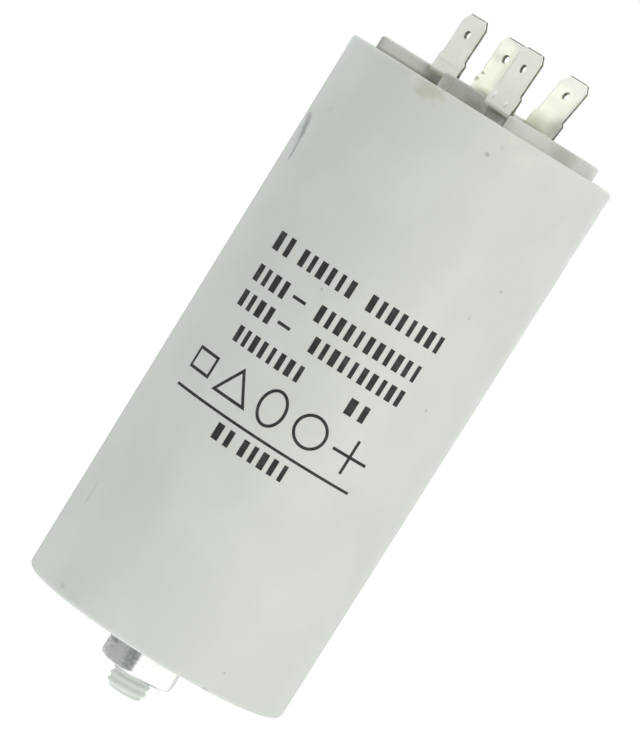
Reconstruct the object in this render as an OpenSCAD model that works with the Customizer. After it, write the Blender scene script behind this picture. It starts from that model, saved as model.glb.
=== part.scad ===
// Motor-run film capacitor in a moulded plastic can with a threaded fixing stud.
// The origin is the centre of the can's foot, +Z runs up the can's axis to the terminals,
// and +X runs along the width of the terminal blades. All sizes are in millimetres.

/* [Can] */
// Outer diameter at the rim
can_d_rim = 50; // [46:0.5:60]
// Height from the foot to the rim
can_h = 102.6; // [80:0.2:140]
// Draft of the mould on each side, in degrees
can_draft = 0.3; // [0:0.05:0.8]
// Thickness of the side wall
can_wall = 2; // [1.6:0.1:2.6]
// Thickness of the floor
can_floor = 2.6; // [1.8:0.1:4]
// Radius of the rim's outer edge
rim_round = 0.5; // [0.2:0.1:0.7]
// Radius of the base's outer edge
base_round = 1.1; // [0.4:0.1:1.6]
// Depth of the recess that the nut seats in
foot_recess = 0.4; // [0.2:0.1:1]
// Distance from the nut's corners to the ring that the can stands on
foot_margin = 6.5; // [2:0.5:8]

/* [Stud and nut] */
// Outer diameter of the stud's thread
stud_d = 7.2; // [6:0.1:12]
// Length of the stud beyond the nut
stud_free = 3.9; // [2:0.1:12]
// Length of the taper at the stud's tip
stud_taper = 1; // [0.4:0.1:1.6]
// Depth of the taper at the stud's tip
stud_tip_cut = 0.6; // [0.2:0.1:1]
// Radius where the stud grows out of the base
stud_root_round = 0.6; // [0.2:0.1:1]
// Height of the nut
nut_h = 6.5; // [4:0.1:8]
// Thickness of the nut from its thread to its flats
nut_wall = 2.9; // [2:0.1:3.5]
// Turn of the nut about the axis, in degrees
nut_turn = 10; // [0:1:60]
// Diameter of the nut's flat end as a share of its width across flats
nut_land = 0.95; // [0.9:0.01:0.99]
// Angle of the chamfer on the nut's corners, in degrees
nut_chamfer_angle = 30; // [15:1:40]
// Radial room between the stud's thread and the nut
thread_clearance = 0.1; // [0.05:0.01:0.2]

/* [Lid] */
// Thickness of the lid's plate
lid_plate = 2.4; // [1.5:0.1:4]
// Depth of the plate's top below the rim
lid_sink = 0.6; // [0.5:0.1:1.2]
// Width of the ledge in the can that carries the plate
lid_ledge = 0.6; // [0.3:0.1:0.9]
// Radial room between the plate and the can's mouth
lid_clearance = 0.1; // [0.05:0.05:0.2]
// Depth of the sealing resin's surface below the rim
seal_sink = 0.1; // [0:0.05:0.4]
// Height of the ears above the rim
ear_h = 2.4; // [1.6:0.1:5]
// Distance from the can's mouth to the ears' round wall
ear_margin = 2.35; // [1.5:0.05:3]
// Room between a strip's outer end and the ear's flat face
ear_room = 0.85; // [0.4:0.05:1.2]
// Edge chamfer of the ears and of the terminal block
lid_edge = 0.3; // [0.1:0.1:0.5]
// Length of the terminal block along the blades
block_l = 18; // [16:0.2:20]
// Width of the terminal block across the blades
block_w = 8; // [7:0.2:10]
// Height of the block above the ears
block_rise = 0.4; // [0.2:0.1:2]
// Corner radius of the block in plan
block_corner = 0.5; // [0.2:0.1:1]

/* [Terminals] */
// Thickness of the tinned sheet
sheet_t = 0.8; // [0.5:0.1:1]
// Inner radius of the sheet's bends
bend_r = 0.2; // [0.1:0.05:0.4]
// Width of a blade
blade_w = 6.3; // [4.8:0.1:6.8]
// Length of a blade from its shoulders to its tip
blade_l = 7.6; // [6:0.1:9]
// Width of the shoulder on each side of a blade's foot
shoulder_w = 0.5; // [0.2:0.1:1]
// Height of the shoulders above the ears
shoulder_rise = 3.2; // [1.5:0.1:6]
// Width of the tip's corner cut
tip_cut_w = 1; // [0.4:0.1:1.6]
// Length of the tip's corner cut
tip_cut_l = 1.4; // [0.6:0.1:2]
// Diameter of the detent hole
detent_d = 1.4; // [1:0.1:2.2]
// Chamfer of the detent hole's edges
detent_edge = 0.1; // [0.05:0.05:0.2]
// Distance from the tip to the detent hole's centre
detent_from_tip = 3.5; // [2.6:0.1:4.6]
// Room between the block's ends and the outer blades
outer_room = 0.25; // [0.2:0.05:0.6]
// Room between the block's faces and the edges that the inner blades are bent up from
inner_room = 0.45; // [0.4:0.05:0.7]
// Distance along a strip between its two blades
blade_pitch = 5.6; // [5.5:0.1:7.4]
// Thickness of the block above the strips
strip_cover = 0.7; // [0.5:0.1:1]
// Length of strip at a blade's foot that is turned with the blade
root_l = 0.8; // [0.7:0.1:1]
// Width of the soldering leg
leg_w = 3.8; // [2:0.1:4]
// Length of the leg below the lid
leg_l = 5; // [3:0.5:8]
// Distance from the block's end to the leg
leg_margin = 1; // [0.6:0.1:1.2]
// Room round a strip inside the lid
mould_gap = 0.05; // [0.02:0.01:0.1]
// Room at the end of a strip's slot for the turned foot of its blade
slot_room = 0.2; // [0.2:0.05:0.4]

/* [Bent blades] */
// Share of a blade's lean that its foot takes up as a curve
curl_share = 0.6; // [0:0.05:0.8]
// Lean of the left outer blade towards +Y, in degrees
outer_left_lean_angle = 2; // [0:1:15]
// Lean of the left inner blade towards +Y, in degrees
inner_left_lean_angle = 2; // [0:1:15]
// Lean of the right inner blade towards +Y, in degrees
inner_right_lean_angle = 3; // [0:1:15]
// Lean of the right outer blade towards +Y, in degrees
outer_right_lean_angle = 12; // [0:1:18]
// Turn of the left outer blade about its own axis, in degrees
outer_left_turn_angle = -5; // [-8:1:8]
// Turn of the left inner blade about its own axis, in degrees
inner_left_turn_angle = 1; // [-8:1:8]
// Turn of the right inner blade about its own axis, in degrees
inner_right_turn_angle = -5; // [-8:1:8]
// Turn of the right outer blade about its own axis, in degrees
outer_right_turn_angle = 1; // [-8:1:8]

/* [Winding] */
// Outer diameter of the winding's core
core_d = 8; // [5:0.5:8.5]
// Wall of the winding's core
core_wall = 1; // [0.5:0.1:1.5]
// Height of the winding above the can's floor
winding_gap = 4; // [3:0.5:8]
// Room between the upper sprayed metal and the legs
top_room = 7.4; // [5:0.2:20]
// Thickness of the sprayed metal on each end
spray_t = 0.6; // [0.3:0.1:1]
// Margin of bare film round the sprayed metal
spray_margin = 0.5; // [0.2:0.1:1]
// Thickness of the lead ribbon
ribbon_t = 0.4; // [0.2:0.1:0.6]
// Width of the lead ribbon
ribbon_w = 3; // [2:0.1:3]
// Length of the ribbon's foot on the sprayed metal
ribbon_foot = 4; // [2:0.5:6]
// Diameter of the insulated wire from the lower end
wire_d = 1; // [0.6:0.1:1.2]
// Room between the wire and the winding's side
wire_gap = 0.2; // [0.1:0.05:0.5]
// Room between the wire and the can's wall
wall_gap = 0.75; // [0.2:0.05:1.5]
// Length of the joint between a lead and its leg, as a share of the leg
lap_share = 0.6; // [0.3:0.05:0.8]

/* [Hidden] */
$fn = 96;

// A length longer than anything it has to cut through
beyond = 200;
// Steps in a rounded edge
round_steps = 6;
// Smallest curve of a blade's foot in degrees, which keeps its radius finite
least_curl = 0.1;

// The outer wall's radius at a height, and the inner wall's behind it
function outer_r(z) = can_d_rim / 2 - (can_h - z) * tan(can_draft);
function inner_r(z) = outer_r(z) - can_wall;

// Points on an arc about a centre, from one angle to another
function arc(c, r, from, to) =
    [for (i = [0:round_steps])
        let (a = from + (to - from) * i / round_steps)
        [c[0] + r * cos(a), c[1] + r * sin(a)]];

// Heights of the lid and of what stands on it; its ears and block are rooted inside the plate
lid_top_z = can_h - lid_sink;
lid_seat_z = lid_top_z - lid_plate;
seal_t = lid_sink - seal_sink;
ear_top_z = can_h + ear_h;
block_top_z = ear_top_z + block_rise;
lid_root_z = lid_seat_z + lid_plate / 2;
mouth_r = inner_r(lid_seat_z) + lid_ledge;

// Nut on the stud
stud_r = stud_d / 2;
stud_len = nut_h - foot_recess + stud_free;
nut_af = stud_d + 2 * nut_wall;
nut_corner_r = nut_af / 2 / cos(30);
foot_r_in = nut_corner_r + foot_margin;

// Strips and blades; each blade's flat stands off the strip's edge by its bend
bend_out = bend_r + sheet_t;
bend_mid = bend_r + sheet_t / 2;
foot_w = blade_w + 2 * shoulder_w;
outer_tab_x = block_l / 2 + outer_room + foot_w / 2;
inner_tab_x = outer_tab_x - blade_pitch;
strip_x_in = inner_tab_x - foot_w / 2;
strip_x_out = outer_tab_x + foot_w / 2;
strip_edge_y = block_w / 2 + inner_room;
strip_base_z = block_top_z - strip_cover - sheet_t;
bend_centre_z = strip_base_z + bend_out;
foot_h = ear_top_z + shoulder_rise - shoulder_w - bend_centre_z;
blade_top = shoulder_w + blade_l;
leg_x = block_l / 2 - leg_margin - leg_w;
leg_mid_x = leg_x + leg_w / 2;
leg_face_y = sheet_t / 2;
leg_end_z = lid_seat_z - leg_l;
lap_top_z = leg_end_z + leg_l * lap_share;

// Curve of a blade's foot in degrees, and the lean that is left for its bend
function curl(lean) = abs(lean * curl_share) > least_curl ? lean * curl_share : least_curl;
function foot_lean(lean) = lean - curl(lean);

// Radius and centre of that curve in the blade's side view, which goes on from the bend
function curl_r(lean) = foot_h / (curl(lean) * PI / 180);
function curl_centre(lean) =
    [0, bend_out] + (bend_mid + curl_r(lean)) * [cos(foot_lean(lean)), -sin(foot_lean(lean))];

// Winding between the floor and the legs, with room for the wire beside it
core_r = core_d / 2;
wire_r = wire_d / 2;
winding_r = inner_r(can_floor) - wall_gap - wire_d - wire_gap;
winding_z = can_floor + winding_gap;
winding_top_z = leg_end_z - top_room - spray_t;
winding_l = winding_top_z - winding_z;
spray_r = winding_r - spray_margin;
spray_top_z = winding_top_z + spray_t;
wire_low_z = winding_z - spray_t - wire_r;
wire_side_r = winding_r + wire_gap + wire_r;
wire_turn_z = (spray_top_z + leg_end_z) / 2;

// Moulded cup with its draft, the seat for the lid, the foot and the stud, all in one piece
module can() {
    color("whitesmoke")
    rotate_extrude()
    polygon(concat(
        [[0, -stud_len],
         [stud_r - stud_tip_cut, -stud_len],
         [stud_r, stud_taper - stud_len]],
        arc([stud_r + stud_root_round, foot_recess - stud_root_round], stud_root_round, 180, 90),
        [[foot_r_in, foot_recess],
         [foot_r_in, 0]],
        arc([outer_r(base_round) - base_round, base_round], base_round, -90, 0),
        arc([outer_r(can_h) - rim_round, can_h - rim_round], rim_round, 0, 90),
        [[mouth_r, can_h],
         [mouth_r, lid_seat_z],
         [inner_r(lid_seat_z), lid_seat_z],
         [inner_r(can_floor), can_floor],
         [0, can_floor]]));
}

// Hole up Z through a height, with both its edges chamfered, to cut from a piece
module chamfered_hole(r, h, edge) {
    rotate_extrude()
    polygon([[0, -edge],
             [r + edge * 2, -edge],
             [r, edge],
             [r, h - edge],
             [r + edge * 2, h + edge],
             [0, h + edge]]);
}

// Hexagon nut with both ends chamfered, seated in the foot's recess
module hex_nut() {
    land_r = nut_af / 2 * nut_land;
    waist_r = land_r + nut_h / 2 / tan(nut_chamfer_angle);
    color("silver")
    translate([0, 0, foot_recess - nut_h])
    rotate([0, 0, nut_turn])
    difference() {
        intersection() {
            cylinder(h = nut_h, r = nut_corner_r, $fn = 6);
            rotate_extrude()
            polygon([[0, 0], [land_r, 0], [waist_r, nut_h / 2], [land_r, nut_h], [0, nut_h]]);
        }
        chamfered_hole(stud_r + thread_clearance, nut_h, stud_root_round + thread_clearance);
    }
}

// Rectangle with round corners, drawn about the origin
module round_rect(l, w, r) {
    square([l - 2 * r, w], center = true);
    square([l, w - 2 * r], center = true);
    for (x = [-1, 1], y = [-1, 1])
        translate([x * (l / 2 - r), y * (w / 2 - r)])
        circle(r = r);
}

// The two raised ears: what is left of a round boss outside a straight channel
module ears() {
    ear_r = mouth_r - ear_margin;
    face_x = strip_x_out + ear_room;
    difference() {
        rotate_extrude()
        polygon([[0, lid_root_z],
                 [ear_r, lid_root_z],
                 [ear_r, ear_top_z - lid_edge],
                 [ear_r - lid_edge, ear_top_z],
                 [0, ear_top_z]]);
        rotate([90, 0, 0])
        linear_extrude(beyond, center = true)
        polygon([[-face_x, 0],
                 [-face_x, ear_top_z - lid_edge],
                 [-face_x - lid_edge * 2, ear_top_z + lid_edge],
                 [face_x + lid_edge * 2, ear_top_z + lid_edge],
                 [face_x, ear_top_z - lid_edge],
                 [face_x, 0]]);
    }
}

// Cross-section of the block with its top corners cut, one of its two spans wide
module block_section(span) {
    half = span / 2;
    polygon([[-half, lid_root_z],
             [-half, block_top_z - lid_edge],
             [lid_edge - half, block_top_z],
             [half - lid_edge, block_top_z],
             [half, block_top_z - lid_edge],
             [half, lid_root_z]]);
}

// The block that holds the strips, with its top edges chamfered
module terminal_block() {
    intersection() {
        linear_extrude(beyond)
        round_rect(block_l, block_w, block_corner);
        rotate([90, 0, 0])
        linear_extrude(beyond, center = true)
        block_section(block_l);
        rotate([90, 0, 90])
        linear_extrude(beyond, center = true)
        block_section(block_w);
    }
}

// Room for one strip and its leg inside the block and the plate
module strip_slot() {
    g = mould_gap;
    strip_l = strip_x_out - strip_x_in;
    translate([strip_x_in - slot_room, -strip_edge_y - block_w, strip_base_z - g])
    cube([strip_l + slot_room, block_w + strip_edge_y - bend_mid + g, sheet_t + 2 * g]);
    translate([leg_x - g, -bend_mid - g, strip_base_z - bend_out])
    cube([leg_w + 2 * g, bend_mid * 2 + g, bend_out + sheet_t + g]);
    translate([leg_x - g, -leg_face_y - g, leg_end_z])
    cube([leg_w + 2 * g, sheet_t + 2 * g, strip_base_z - leg_end_z]);
}

// Plate, ears and terminal block, moulded in one piece
module lid() {
    color("gainsboro")
    difference() {
        union() {
            translate([0, 0, lid_seat_z])
            cylinder(h = lid_plate, r = mouth_r - lid_clearance);
            ears();
            terminal_block();
        }
        for (a = [0, 180])
            rotate([0, 0, a])
            strip_slot();
    }
}

// Cured resin round the ears and the block, just below the can's rim
module seal_resin() {
    color("olive")
    difference() {
        translate([0, 0, lid_top_z])
        cylinder(h = seal_t, r = mouth_r);
        ears();
        terminal_block();
    }
}

// Side view of a blade: its root in the strip, its bend, its curved foot and its flat
module blade_side(lean) {
    upright = foot_lean(lean);
    front = arc(curl_centre(lean), curl_r(lean) - sheet_t / 2, 180 - upright, 180 - lean);
    back = arc(curl_centre(lean), curl_r(lean) + sheet_t / 2, 180 - lean, 180 - upright);
    flat = blade_top * [sin(lean), cos(lean)];
    polygon(concat(
        [[-root_l, 0]],
        arc([0, bend_out], bend_out, -90, -upright),
        [for (i = [1:round_steps]) front[i]],
        [front[round_steps] + flat,
         back[0] + flat],
        [for (i = [0:round_steps - 1]) back[i]],
        arc([0, bend_out], bend_r, -upright, -90),
        [[-root_l, sheet_t]]));
}

// Front view of a blade: sloped shoulders that run out past its foot, tongue and cut tip
module blade_front() {
    wide = foot_w / 2 + foot_h;
    deep = 2 * (foot_h + bend_out);
    polygon([[-wide, -deep],
             [-wide, -foot_h],
             [-blade_w / 2, shoulder_w],
             [-blade_w / 2, blade_top - tip_cut_l],
             [tip_cut_w - blade_w / 2, blade_top],
             [blade_w / 2 - tip_cut_w, blade_top],
             [blade_w / 2, blade_top - tip_cut_l],
             [blade_w / 2, shoulder_w],
             [wide, -foot_h],
             [wide, -deep]]);
}

// Places what is drawn in a blade's front view on the flat above its foot
module on_flat(lean) {
    base = curl_centre(lean) - curl_r(lean) * [cos(lean), -sin(lean)];
    translate([0, base[0], base[1]])
    rotate([90 - lean, 0, 0])
    children();
}

// A blade that is bent up from the edge y = 0 of a strip, leaning out from upright
module tab(lean, turn) {
    translate([0, bend_mid, 0])
    rotate([0, 0, turn])
    translate([0, -bend_mid, 0])
    difference() {
        intersection() {
            rotate([90, 0, 90])
            linear_extrude(foot_w, center = true)
            blade_side(lean);
            on_flat(lean)
            linear_extrude(foot_w, center = true)
            blade_front();
        }
        on_flat(lean)
        translate([0, blade_top - detent_from_tip, -sheet_t / 2])
        chamfered_hole(detent_d / 2, sheet_t, detent_edge);
    }
}

// Bend of the leg about an axis along X, which starts flat below the axis
module leg_bend() {
    rotate([0, 90, 0])
    rotate_extrude(angle = 90)
    translate([bend_r, -leg_w / 2])
    square([sheet_t, leg_w]);
}

// One pole's stamped strip: two blades bent up from opposite edges and a leg bent down
module terminal(outer_lean, outer_turn, inner_lean, inner_turn) {
    leg_drop = strip_base_z - bend_r - leg_end_z;
    translate([0, 0, strip_base_z]) {
        translate([strip_x_in, -strip_edge_y, 0])
        cube([strip_x_out - strip_x_in, strip_edge_y - bend_mid, sheet_t]);
        translate([outer_tab_x, -bend_mid, 0])
        tab(outer_lean, outer_turn);
        translate([inner_tab_x, -strip_edge_y, 0])
        rotate([0, 0, 180])
        tab(inner_lean, inner_turn);
        translate([leg_mid_x, -bend_mid, -bend_r])
        mirror([0, 0, 1])
        leg_bend();
        translate([leg_x, -leg_face_y, -bend_r])
        mirror([0, 0, 1])
        cube([leg_w, sheet_t, leg_drop]);
    }
}

module terminal_right() {
    color("lightgray")
    terminal(outer_right_lean_angle, outer_right_turn_angle,
             -inner_right_lean_angle, inner_right_turn_angle);
}

// The same strip turned half round, so that its blades' leans change sign
module terminal_left() {
    color("lightgray")
    rotate([0, 0, 180])
    terminal(-outer_left_lean_angle, outer_left_turn_angle,
             inner_left_lean_angle, inner_left_turn_angle);
}

// Film wound on its core; all the turns are one solid
module winding() {
    color("lightsteelblue")
    translate([0, 0, winding_z])
    difference() {
        cylinder(h = winding_l, r = winding_r);
        translate([0, 0, -winding_l])
        cylinder(h = winding_l * 3, r = core_r);
    }
}

module winding_core() {
    color("ivory")
    translate([0, 0, winding_z])
    difference() {
        cylinder(h = winding_l, r = core_r);
        translate([0, 0, -winding_l])
        cylinder(h = winding_l * 3, r = core_r - core_wall);
    }
}

// Ring of sprayed metal that joins the edges of the film's turns
module spray_ring(z) {
    translate([0, 0, z])
    difference() {
        cylinder(h = spray_t, r = spray_r);
        translate([0, 0, -spray_t])
        cylinder(h = spray_t * 3, r = core_r);
    }
}

module end_spray_top() {
    color("dimgray")
    spray_ring(winding_top_z);
}

module end_spray_bottom() {
    color("dimgray")
    spray_ring(winding_z - spray_t);
}

// Ribbon from the upper sprayed metal to the left terminal's leg, which it lies against
module lead_top() {
    color("goldenrod")
    translate([-leg_mid_x - ribbon_w / 2, leg_face_y, spray_top_z]) {
        cube([ribbon_w, ribbon_foot, ribbon_t]);
        cube([ribbon_w, ribbon_t, lap_top_z - spray_top_z]);
    }
}

// Round wire through a list of points, with ball elbows
module wire(points, r) {
    for (i = [0:len(points) - 2]) {
        d = points[i + 1] - points[i];
        l = norm(d);
        translate(points[i])
        rotate([0, acos(d[2] / l), atan2(d[1], d[0])])
        cylinder(h = l, r = r);
    }
    for (i = [1:len(points) - 2])
        translate(points[i])
        sphere(r = r);
}

// Insulated wire from the lower sprayed metal, up the winding's side, to the right leg
module lead_bottom() {
    wire_y = -leg_face_y - wire_r;
    color("firebrick")
    wire([[leg_mid_x, wire_y, wire_low_z],
          [wire_side_r, wire_y, wire_low_z],
          [wire_side_r, wire_y, wire_turn_z],
          [leg_mid_x, wire_y, wire_turn_z],
          [leg_mid_x, wire_y, lap_top_z]], wire_r);
}

// Resin that fills the can round the winding, up to the lid
module potting_resin() {
    color("darkkhaki")
    difference() {
        rotate_extrude()
        polygon([[0, can_floor],
                 [inner_r(can_floor), can_floor],
                 [inner_r(lid_seat_z), lid_seat_z],
                 [0, lid_seat_z]]);
        winding();
        winding_core();
        end_spray_top();
        end_spray_bottom();
        lead_top();
        lead_bottom();
        terminal_left();
        terminal_right();
    }
}

can();
hex_nut();
lid();
seal_resin();
terminal_left();
terminal_right();
winding();
winding_core();
end_spray_top();
end_spray_bottom();
lead_top();
lead_bottom();
potting_resin();
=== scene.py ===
"""Looks of a plastic-cased motor run capacitor: moulded can, lid, tinned blades, nut, print and studio."""
import logging
import math
from dataclasses import dataclass, field
from enum import Enum
from typing import Callable, Optional, Sequence, Union

import bmesh
import bpy
from mathutils import Matrix, Vector


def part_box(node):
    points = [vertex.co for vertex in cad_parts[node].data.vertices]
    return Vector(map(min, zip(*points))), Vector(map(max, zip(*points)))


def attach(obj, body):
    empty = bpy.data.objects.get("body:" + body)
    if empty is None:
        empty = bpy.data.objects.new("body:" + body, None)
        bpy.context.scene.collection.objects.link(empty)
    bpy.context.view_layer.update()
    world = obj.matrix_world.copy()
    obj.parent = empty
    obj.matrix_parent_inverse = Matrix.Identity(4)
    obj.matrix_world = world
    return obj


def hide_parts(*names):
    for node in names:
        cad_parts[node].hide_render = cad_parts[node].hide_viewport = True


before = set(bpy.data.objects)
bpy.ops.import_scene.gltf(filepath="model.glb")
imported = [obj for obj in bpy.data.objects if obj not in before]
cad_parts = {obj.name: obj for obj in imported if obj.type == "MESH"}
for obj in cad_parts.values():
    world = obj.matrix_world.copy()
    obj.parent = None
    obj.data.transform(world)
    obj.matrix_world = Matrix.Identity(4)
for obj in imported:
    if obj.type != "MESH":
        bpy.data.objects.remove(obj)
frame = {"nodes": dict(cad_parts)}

LOG = logging.getLogger("capacitor")
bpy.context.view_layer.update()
MM = 0.001
MERGE = 0.0005 * MM
BODY = "root"
Span = tuple[float, float]
Place = tuple[float, float, float]
Colour = tuple[float, float, float, float]
Socket = bpy.types.NodeSocket
Value = Union[float, Socket]
WHITE: Colour = (1.0, 1.0, 1.0, 1.0)

# The can's front line as a turn about its axis, and the radius at which arcs along its side are measured
FRONT_TURN = math.radians(-45)
ARC_RADIUS = 24.7

# The part of a noise's range where most of its values lie
NOISE_BAND: Span = (0.3, 0.7)


def span(node: str, axis: int) -> Span:
    """Lowest and highest place of a solid along one axis, in millimetres."""
    low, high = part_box(node)
    return low[axis] / MM, high[axis] / MM


def srgb(red: float, green: float, blue: float) -> Colour:
    """Turn a colour as seen on a screen into the linear one that shaders take.

    Args:
        red: Red from 0 to 255.
        green: Green from 0 to 255.
        blue: Blue from 0 to 255.

    Returns:
        The linear colour with full alpha.
    """

    def linear(part: float) -> float:
        """Undo the screen's curve for one channel."""
        part /= 255
        return part / 12.92 if part <= 0.04045 else ((part + 0.055) / 1.055) ** 2.4

    return (linear(red), linear(green), linear(blue), 1.0)


class Graph:
    """A material's node tree, with short calls for the nodes that these finishes use."""

    def __init__(self, name: str) -> None:
        """Start a material with a Principled shader that reads Object coordinates.

        Args:
            name: The material's name.
        """
        self.material = bpy.data.materials.new(name)
        self.material.use_nodes = True
        self.tree = self.material.node_tree
        self.tree.nodes.clear()
        self.shader = self.tree.nodes.new("ShaderNodeBsdfPrincipled")
        out = self.tree.nodes.new("ShaderNodeOutputMaterial")
        self.tree.links.new(self.shader.outputs["BSDF"], out.inputs["Surface"])
        self.place = self.tree.nodes.new("ShaderNodeTexCoord").outputs["Object"]

    def feed(self, socket: Socket, value: Union[Value, Colour, Vector]) -> None:
        """Link a socket to an output, or set it to a constant.

        Args:
            socket: The socket that takes the value.
            value: An output, or the constant.
        """
        if isinstance(value, bpy.types.NodeSocket):
            self.tree.links.new(value, socket)
        else:
            socket.default_value = value

    def set(self, name: str, value: Union[Value, Colour]) -> None:
        """Give one of the shader's sockets its value by name."""
        self.feed(self.shader.inputs[name], value)

    def maths(self, kind: str, a: Value, b: Value = 0.0, c: Value = 0.0) -> Socket:
        """Work out one step of arithmetic.

        Args:
            kind: The Math node's operation.
            a: First value.
            b: Second value.
            c: Third value.

        Returns:
            The result's socket.
        """
        node = self.tree.nodes.new("ShaderNodeMath")
        node.operation = kind
        for socket, value in zip(node.inputs, (a, b, c)):
            self.feed(socket, value)
        return node.outputs["Value"]

    def parts(self, vector: Socket) -> tuple[Socket, Socket, Socket]:
        """Split a vector into its three numbers.

        Args:
            vector: The vector.

        Returns:
            Its three numbers.
        """
        node = self.tree.nodes.new("ShaderNodeSeparateXYZ")
        self.feed(node.inputs["Vector"], vector)
        return node.outputs["X"], node.outputs["Y"], node.outputs["Z"]

    def joined(self, x: Value, y: Value, z: Value) -> Socket:
        """Join three numbers into a vector.

        Args:
            x: First number.
            y: Second number.
            z: Third number.

        Returns:
            The vector.
        """
        node = self.tree.nodes.new("ShaderNodeCombineXYZ")
        for socket, value in zip(node.inputs, (x, y, z)):
            self.feed(socket, value)
        return node.outputs["Vector"]

    def vector(self, kind: str, a: Socket, b: Place = (0.0, 0.0, 0.0)) -> Socket:
        """Work out one step of vector arithmetic with a constant.

        Args:
            kind: The Vector Math node's operation.
            a: The vector.
            b: The constant, where the operation takes one.

        Returns:
            The result, a number for a length or a dot product.
        """
        node = self.tree.nodes.new("ShaderNodeVectorMath")
        node.operation = kind
        self.feed(node.inputs[0], a)
        node.inputs[1].default_value = b
        return node.outputs["Value" if kind in ("LENGTH", "DOT_PRODUCT") else "Vector"]

    def stretched(self, scale: Place, turn: float = 0.0) -> Socket:
        """Object coordinates scaled per axis and turned about the can's axis.

        Args:
            scale: Factor along each axis.
            turn: Turn about Z in radians, made before the scaling.

        Returns:
            The mapped coordinates.
        """
        node = self.tree.nodes.new("ShaderNodeMapping")
        self.feed(node.inputs["Vector"], self.place)
        node.inputs["Rotation"].default_value = (0, 0, turn)
        node.inputs["Scale"].default_value = scale
        return node.outputs["Vector"]

    def noise(self, scale: float, detail: float = 3.0, vector: Optional[Socket] = None) -> Socket:
        """Cloudy noise from 0 to 1.

        Args:
            scale: Clouds per metre of the coordinates.
            detail: How many finer layers are added.
            vector: Coordinates, or None for the object's own.

        Returns:
            The noise value.
        """
        node = self.tree.nodes.new("ShaderNodeTexNoise")
        self.feed(node.inputs["Vector"], vector or self.place)
        node.inputs["Scale"].default_value = scale
        node.inputs["Detail"].default_value = detail
        return node.outputs["Fac"]

    def fade(self, value: Socket, low: float, high: float, at_low: float, at_high: float) -> Socket:
        """Map a value smoothly from one range onto another, held at the ends.

        Args:
            value: The value to map.
            low: Where the range starts.
            high: Where the range ends.
            at_low: Result at and below the start.
            at_high: Result at and above the end.

        Returns:
            The mapped value.
        """
        node = self.tree.nodes.new("ShaderNodeMapRange")
        node.interpolation_type = "SMOOTHSTEP"
        self.feed(node.inputs["Value"], value)
        node.inputs["From Min"].default_value = low
        node.inputs["From Max"].default_value = high
        node.inputs["To Min"].default_value = at_low
        node.inputs["To Max"].default_value = at_high
        return node.outputs["Result"]

    def cloudy(
        self, scale: float, detail: float, ends: Span = (0.0, 1.0), band: Span = NOISE_BAND
    ) -> Socket:
        """Cloudy noise that runs from one value to another.

        Args:
            scale: Clouds per metre.
            detail: How many finer layers are added.
            ends: The values between the clouds and inside them.
            band: The part of the noise's range that is used.

        Returns:
            The value.
        """
        return self.fade(self.noise(scale, detail), *band, *ends)

    def mix(self, share: Value, low: Union[Socket, Colour], high: Union[Socket, Colour]) -> Socket:
        """Blend two colours.

        Args:
            share: How much of the second colour shows.
            low: First colour.
            high: Second colour.

        Returns:
            The blended colour.
        """
        node = self.tree.nodes.new("ShaderNodeMix")
        node.data_type = "RGBA"
        factor, first, second = node.inputs[0], node.inputs[6], node.inputs[7]
        for socket, value in ((factor, share), (first, low), (second, high)):
            self.feed(socket, value)
        return node.outputs[2]

    def patch(self, place: Socket, mark: "Patch", ragged: Socket) -> Socket:
        """Share of one soft mark at each place, broken up at its edge.

        Args:
            place: Coordinates in millimetres.
            mark: The mark.
            ragged: Noise that breaks up the edge.

        Returns:
            The mark's share, from 0 up to its strength.
        """
        away = self.vector("SUBTRACT", place, mark.centre)
        far = self.vector("LENGTH", self.vector("DIVIDE", away, mark.half))
        uneven = self.maths("MULTIPLY_ADD", self.maths("SUBTRACT", ragged, 0.5), mark.ragged, far)
        return self.fade(uneven, mark.core, 1.0, mark.strength, 0.0)

    def marked(
        self, colour: Socket, tone: Colour, marks: Sequence["Patch"], place: Socket, ragged: Socket
    ) -> Socket:
        """Lay marks of one tone over a colour.

        Args:
            colour: The colour below.
            tone: The marks' own colour.
            marks: The marks.
            place: Coordinates in millimetres.
            ragged: Noise that breaks up the marks' edges.

        Returns:
            The marked colour.
        """
        for mark in marks:
            colour = self.mix(self.patch(place, mark, ragged), colour, tone)
        return colour

    def bump(self, height: Socket, strength: float, depth: float) -> None:
        """Raise the surface by a height value.

        Args:
            height: Height from 0 to 1.
            strength: How strongly it shows.
            depth: Metres between the lowest and highest point.
        """
        node = self.tree.nodes.new("ShaderNodeBump")
        node.inputs["Strength"].default_value = strength
        node.inputs["Distance"].default_value = depth
        self.feed(node.inputs["Height"], height)
        self.feed(self.shader.inputs["Normal"], node.outputs["Normal"])


@dataclass(frozen=True)
class Patch:
    """A soft mark on a surface: its centre and half size in millimetres, and the share of it that is full."""

    centre: Place
    half: Place
    strength: float
    ragged: float = 1.0
    core: float = 0.2


def spot(
    arc: float, height: float, half_arc: float, half_height: float, strength: float, ragged: float = 1.0
) -> Patch:
    """A mark on the can's side, placed by arc length from its front line and by height."""
    return Patch((arc, height, 0.0), (half_arc, half_height, 1.0), strength, ragged)


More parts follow.
